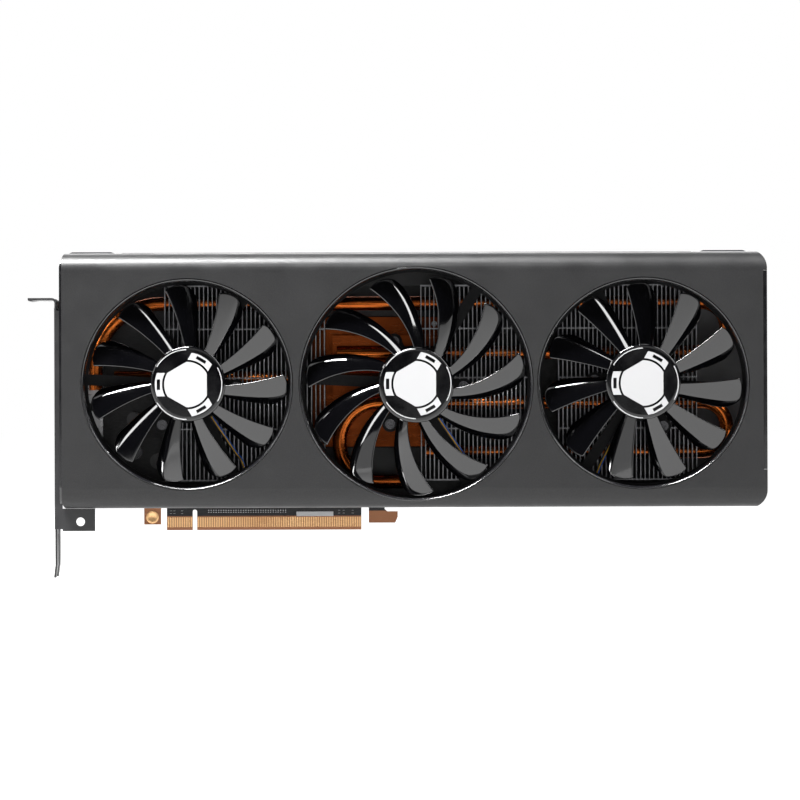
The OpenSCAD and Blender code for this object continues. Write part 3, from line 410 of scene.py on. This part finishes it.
def blade(sweep, tip_r, turn):
    """One blade as a closed shell about the fan's axis, with y measured from the hub's front."""
    root_edges, tip_edges, trailing_corner = sweep
    points, index = [], {}
    for side in (-1, 1):
        for a, s in enumerate(ALONG):
            lead, crease, trail = [math.radians(mix(p, q, s)) for p, q in zip(root_edges, tip_edges)]
            arc = mix(HUB_R, tip_r, s)
            for b, u in enumerate(ACROSS):
                if side == 1 and (u in (0, 2) or s == 1):
                    index[side, a, b] = index[-1, a, b]      # both sides meet at the edges
                    continue
                face = min(u, 1) * (crease - lead)
                strip = max(u - 1, 0) * (trail - crease)
                share = (face + strip) / (trail - lead)
                clock = math.radians(turn) + lead + face + strip
                r = mix(HUB_R - BLADE_SINK, tip_r - tip_inset(share, trailing_corner), s)
                from_edge = min(share, 1 - share) * (trail - lead) * arc
                from_tip = (1 - s) * (tip_r - HUB_R)
                thick = min(rounded_share(from_edge, EDGE_ROUND), rounded_share(from_tip, EDGE_ROUND))
                y = BLADE_START + BLADE_THICK / 2 + side * thick * BLADE_THICK / 2
                y += arc * (FACE_SLOPE * face + STRIP_SLOPE * strip)
                y += crease_lift(arc * (crease - lead - face), arc * strip)
                index[side, a, b] = len(points)
                points.append((r * math.sin(clock), y, r * math.cos(clock)))
    faces = []
    last = len(ACROSS) - 1
    for a in range(len(ALONG) - 1):
        for b in range(last):
            for side in (-1, 1):
                corners = ((a, b), (a, b + 1), (a + 1, b + 1), (a + 1, b))
                quad = [index[side, m, n] for m, n in corners][::side]
                faces.append(tuple(dict.fromkeys(quad)))
    root = [index[-1, 0, b] for b in range(last + 1)] + [index[1, 0, b] for b in range(last - 1, 0, -1)]
    faces.append(tuple(root))
    return points, faces


def hub_profile(front, back):
    """Half the hub's cross-section: a cup, open at its back, with a boss for the shaft."""
    rim = [(HUB_R - HUB_EDGE + HUB_EDGE * math.sin(t), front + HUB_EDGE * (1 - math.cos(t)))
           for t in quarter_turn(9)]
    side = [(HUB_R, mix(front, back, k / 4)) for k in range(1, 5)]
    inside = [(HUB_R - HUB_WALL, back), (HUB_R - HUB_WALL, front + HUB_FRONT_THICK),
              (BOSS_R, front + HUB_FRONT_THICK), (BOSS_R, front + BOSS_DEPTH), (0.0, front + BOSS_DEPTH)]
    return [(r, front) for r in HUB_FRONT_CIRCLES] + rim + side + inside


def impeller(fan):
    centre, tip_r = middle_of(f"impeller_{fan}")
    hub_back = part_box(f"impeller_{fan}")[1].y
    points, faces = turned(hub_profile(centre.y, hub_back), centre, closed=False)
    for k in range(BLADES):
        blade_points, blade_faces = blade(SWEEP[fan], tip_r, turn=k * 360 / BLADES)
        start = len(points)
        points += [centre + Vector(p) for p in blade_points]
        faces += [tuple(start + i for i in face) for face in blade_faces]
    made = piece_from(f"{fan}_impeller_moulding", points, faces, "blade_gloss", body_of(f"impeller_{fan}"))
    weld = made.modifiers.new("weld", "WELD")
    weld.merge_threshold = WELD
    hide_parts(f"impeller_{fan}")


for fan_name in FANS:
    impeller(fan_name)


# ---------- fan rings ----------
DUCT_WALL = 1.25 * MM        # from the mouth's outer edge to the bore
SLEEVE_WALL = 1.0 * MM
LIP_ROUND = 0.35 * MM
MOUTH_DEPTH = 2.0 * MM
FLANGE_DEPTH = 3.2 * MM


def fan_ring(fan):
    """The duct, with a bell mouth that is a true curve."""
    centre, outer_r = middle_of(f"fan_ring_{fan}")
    bore_r = outer_r - DUCT_WALL
    lip_r = outer_r - LIP_ROUND
    front, back = centre.y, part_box(f"fan_ring_{fan}")[1].y
    lip = [(lip_r + LIP_ROUND * math.sin(t), front + LIP_ROUND * (1 - math.cos(t)))
           for t in quarter_turn(5)[:0:-1]]
    mouth = [(mix(bore_r, lip_r, 1 - math.sin(t)), front + MOUTH_DEPTH * (1 - math.cos(t)))
             for t in quarter_turn(10)]
    bore = [(bore_r, mix(front, back, k / 3)) for k in (1, 2, 3)]
    outside = [(bore_r + SLEEVE_WALL, back), (bore_r + SLEEVE_WALL, front + FLANGE_DEPTH),
               (outer_r, front + FLANGE_DEPTH)]
    points, faces = turned(lip + mouth + bore + outside, centre, segments=192)
    made = piece_from(f"{fan}_fan_duct", points, faces, "ring_plastic", body_of(f"fan_ring_{fan}"))
    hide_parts(f"fan_ring_{fan}")


for fan_name in FANS:
    fan_ring(fan_name)


# ---------- board details ----------
BOARD_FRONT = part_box("circuit_board")[0].y
CAPACITOR_PAIRS = 16
FIRST_PAIR_X = 6.0 * MM
PAIR_PITCH = 2.15 * MM
PAIR_SPREAD = 1.05 * MM
CAPACITOR_Z = 8.1 * MM
CAPACITOR_END_Z = (7.7 * MM, 8.5 * MM)
DASH_Z = 9.0 * MM
MARK_X = (-10.4 * MM, -8.9 * MM, -5.6 * MM, 62.5 * MM, 64.5 * MM, 68.4 * MM)
MARK_Z = (8.4 * MM, 7.2 * MM)
PRINT_DEPTH = 0.03 * MM
LABEL_X, LABEL_Z = 52 * MM, 6.9 * MM
PAD_X, PAD_Z = -18.4 * MM, 5.7 * MM
# the pad's cross-section: radius, and height behind the board's front
PAD_PROFILE = ((2.75 * MM, 0.02 * MM), (2.75 * MM, -0.06 * MM), (2.6 * MM, -0.09 * MM),
               (1.5 * MM, -0.09 * MM), (1.3 * MM, -0.02 * MM), (0.0, -0.02 * MM))


def blocks(name, boxes, slot, bevel=0.0):
    """One piece of separate boxes, each given by its low and high corners."""
    points, faces = [], []
    sides = ((0, 1, 3, 2), (4, 6, 7, 5), (0, 4, 5, 1), (2, 3, 7, 6), (0, 2, 6, 4), (1, 5, 7, 3))
    for low, high in boxes:
        start = len(points)
        points += [(x, y, z) for x in (low[0], high[0]) for y in (low[1], high[1])
                   for z in (low[2], high[2])]
        faces += [tuple(start + i for i in side) for side in sides]
    made = piece_from(name, points, faces, slot, "card", smooth=False)
    if bevel:
        edge = made.modifiers.new("bevel", "BEVEL")
        edge.width = bevel
        edge.segments = 2


def chip(x, z, width, height, depth):
    """A box of that size on the board's front, as its low and high corners."""
    return ((x - width / 2, BOARD_FRONT - depth, z - height / 2),
            (x + width / 2, BOARD_FRONT, z + height / 2))


def board_details():
    """Coupling capacitors above the contacts, a blank label, printed marks and the tab's plated pad."""
    bodies, ends, marks = [], [], []
    for k in range(CAPACITOR_PAIRS):
        for offset in (0.0, PAIR_SPREAD):
            x = FIRST_PAIR_X + PAIR_PITCH * k + offset
            bodies.append(chip(x, CAPACITOR_Z, 0.5 * MM, 0.55 * MM, 0.45 * MM))
            ends += [chip(x, z, 0.52 * MM, 0.25 * MM, 0.47 * MM) for z in CAPACITOR_END_Z]
            marks.append(chip(x, DASH_Z, 0.5 * MM, 0.09 * MM, PRINT_DEPTH))
    marks += [chip(x, z, 0.9 * MM, 0.12 * MM, PRINT_DEPTH) for x in MARK_X for z in MARK_Z]
    label = chip(LABEL_X, LABEL_Z, 16 * MM, 2.0 * MM, 0.08 * MM)
    blocks("coupling_capacitors", bodies, "chip_black", 0.05 * MM)
    blocks("capacitor_ends", ends, "socket_steel", 0.04 * MM)
    blocks("blank_label", [label], "emblem", 0.02 * MM)
    blocks("printed_marks", marks, "emblem")
    profile = [(r, BOARD_FRONT + height) for r, height in PAD_PROFILE]
    points, faces = turned(profile, Vector((PAD_X, 0, PAD_Z)), segments=64, closed=False)
    piece_from("tab_pad", points, faces, "gold", "card")


board_details()


# ---------- fan leads ----------
# clock angle of each fan's lead, and the X of its header
LEAD_CLOCK = {"left": 146, "middle": 146, "right": 207}
HEADER_X = {"left": 16 * MM, "middle": 128 * MM, "right": 176 * MM}
FRAME_PLATE = 2.0 * MM       # thickness of a fan frame's arms
WIRE_R = 0.3 * MM
WIRE_PITCH = 0.62 * MM
SHEATHS = {"lead_black": (0.01, 0.01, 0.012), "lead_yellow": (0.62, 0.36, 0.03),
           "lead_blue": (0.03, 0.1, 0.42)}
for sheath_name, sheath_colour in SHEATHS.items():
    FINISHES[sheath_name] = soft_rubber(sheath_name, sheath_colour)


def smooth_route(route, steps=10):
    """Points of a smooth curve through a route."""
    padded = [route[0]] + route + [route[-1]]
    found = []
    for k in range(len(route) - 1):
        a, b, c, d = (Vector(p) for p in padded[k:k + 4])
        for m in range(steps):
            t = m / steps
            found.append(0.5 * (2 * b + (c - a) * t + (2 * a - 5 * b + 4 * c - d) * t * t
                                + (3 * b - a - 3 * c + d) * t ** 3))
    return found + [Vector(route[-1])]


def tube(line, radius, sides=10):
    """Points and faces of a round tube with closed ends along a line."""
    points, faces = [], []
    for k, place in enumerate(line):
        along = (line[min(k + 1, len(line) - 1)] - line[max(k - 1, 0)]).normalized()
        u = along.cross(Vector((1, 0.3, 0.2))).normalized()      # no lead runs along this vector
        v = along.cross(u)
        points += [place + radius * (math.cos(a) * u + math.sin(a) * v)
                   for a in [2 * math.pi * m / sides for m in range(sides)]]
    for k in range(len(line) - 1):
        a, b = k * sides, (k + 1) * sides
        for m in range(sides):
            n = (m + 1) % sides
            faces.append((a + m, a + n, b + n, b + m))
    faces.append(tuple(reversed(range(sides))))
    faces.append(tuple((len(line) - 1) * sides + m for m in range(sides)))
    return points, faces


def lead_line(fan):
    """The lead's middle line: out along the frame's arm, down behind the ring, back to the header."""
    centre, _ = middle_of(f"impeller_{fan}")
    bore_r = middle_of(f"fan_ring_{fan}")[1] - DUCT_WALL
    frame_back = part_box(f"fan_frame_{fan}")[1].y
    front, back = frame_back - FRAME_PLATE - 0.5 * MM, frame_back + 0.5 * MM
    clock = math.radians(LEAD_CLOCK[fan])
    ring_x = centre.x + bore_r * math.sin(clock)
    header = HEADER_X[fan]

    def out(r, y):
        return (centre.x + r * MM * math.sin(clock), y, centre.z + r * MM * math.cos(clock))
    route = [out(17, front), out(24, front), out(31, front), out(36, (front + back) / 2), out(40, back),
             (ring_x, back, 23 * MM), (ring_x, back, 20.2 * MM),
             (mix(ring_x, header, 0.4), -25 * MM, 18.6 * MM), (mix(ring_x, header, 0.8), -18 * MM, 17.6 * MM),
             (header, -12 * MM, 16.6 * MM), (header, -7 * MM, 16 * MM), (header, -2.2 * MM, 16 * MM)]
    return smooth_route(route)


def fan_lead(fan):
    """Three thin sheathed wires side by side, from the motor base to the header."""
    line = lead_line(fan)
    for k, sheath in enumerate(SHEATHS):
        shift = Vector(((k - 1) * WIRE_PITCH, 0, 0))
        points, faces = tube([p + shift for p in line], WIRE_R)
        wire = piece_from(f"{fan}_{sheath}", points, faces, "lead_sheath", "card")
        wire.data.materials[0] = FINISHES[sheath]
        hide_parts("fan_leads")


for fan_name in FANS:
    fan_lead(fan_name)


# ---------- stage, lights and camera ----------
FLOOR_HALF = 12.0
FLOOR_COLOUR = (0.17, 0.17, 0.17)
FLOOR_GLOW = 1.0
LENS = 311.4                 # a long lens, so that the card is seen almost without perspective
CAMERA_FROM_MIDDLE = Vector((1.415 * MM, -2.97885, 5.955 * MM))
CAMERA_ROLL = 0.2            # degrees about its line of sight
middle = (cad_bounds[0] + cad_bounds[1]) / 2


def floor():
    """A matte floor with a glow of its own, so that it stays white to the horizon."""
    ground = cad_bounds[0].z
    corners = [(x * FLOOR_HALF, y * FLOOR_HALF, ground) for x, y in ((-1, -1), (1, -1), (1, 1), (-1, 1))]
    mesh = bpy.data.meshes.new("floor")
    mesh.from_pydata(corners, [], [(0, 1, 2, 3)])
    finish = Finish("floor", FLOOR_COLOUR, roughness=0.9)
    finish.shader.inputs["Emission Color"].default_value = (1, 1, 1, 1)
    finish.shader.inputs["Emission Strength"].default_value = FLOOR_GLOW
    mesh.materials.append(finish.material)
    made = bpy.data.objects.new("floor", mesh)
    bpy.context.scene.collection.objects.link(made)


def soft_light(name, place, aim, width, height, power):
    """A white softbox of that size and power at a place, facing what it aims at."""
    data = bpy.data.lights.new(name, "AREA")
    data.shape = "RECTANGLE"
    data.size, data.size_y = width, height
    data.energy = power
    made = bpy.data.objects.new(name, data)
    made.location = place
    made.rotation_mode = "QUATERNION"
    made.rotation_quaternion = (Vector(aim) - Vector(place)).to_track_quat("-Z", "Y")
    bpy.context.scene.collection.objects.link(made)


def world(background, fill):
    """White behind the card, and a dim even fill for light and reflections."""
    made = bpy.data.worlds.new("studio")
    made.use_nodes = True
    tree = made.node_tree
    seen = tree.nodes["Background"]
    seen.inputs["Color"].default_value = (*background, 1)
    lit = tree.nodes.new("ShaderNodeBackground")
    lit.inputs["Color"].default_value = (*fill, 1)
    path = tree.nodes.new("ShaderNodeLightPath")
    choose = tree.nodes.new("ShaderNodeMixShader")
    tree.links.new(path.outputs["Is Camera Ray"], choose.inputs[0])
    tree.links.new(lit.outputs[0], choose.inputs[1])
    tree.links.new(seen.outputs[0], choose.inputs[2])
    tree.links.new(choose.outputs[0], tree.nodes["World Output"].inputs["Surface"])
    bpy.context.scene.world = made


def camera():
    data = bpy.data.cameras.new("camera")
    data.sensor_width = 36.0
    data.lens = LENS
    data.clip_start, data.clip_end = 0.1, 60
    made = bpy.data.objects.new("camera", data)
    made.location = middle + CAMERA_FROM_MIDDLE
    made.rotation_euler = (math.radians(90), math.radians(CAMERA_ROLL), 0)
    bpy.context.scene.collection.objects.link(made)
    bpy.context.scene.camera = made


floor()
world(background=(1.0, 1.0, 1.0), fill=(0.008, 0.008, 0.008))
soft_light("top", (-0.22, -0.25, 0.88), (-0.22, -0.04, 0.1), width=0.42, height=0.16, power=40)
soft_light("left", (-0.72, -0.36, 0.47), middle, width=0.2, height=0.4, power=2.6)
soft_light("right", (0.69, -0.36, 0.66), middle, width=0.24, height=0.62, power=4.6)
soft_light("low_left", (-1.1, -1.2, 0.2), middle, width=0.9, height=0.5, power=1.3)
soft_light("front", (middle.x + 0.3, -2.6, 0.5), middle, width=1.6, height=0.6, power=1.5)
soft_light("back", (middle.x, 1.6, 1.0), middle, width=2.0, height=1.0, power=30)
camera()
bpy.context.scene.view_settings.view_transform = "Standard"
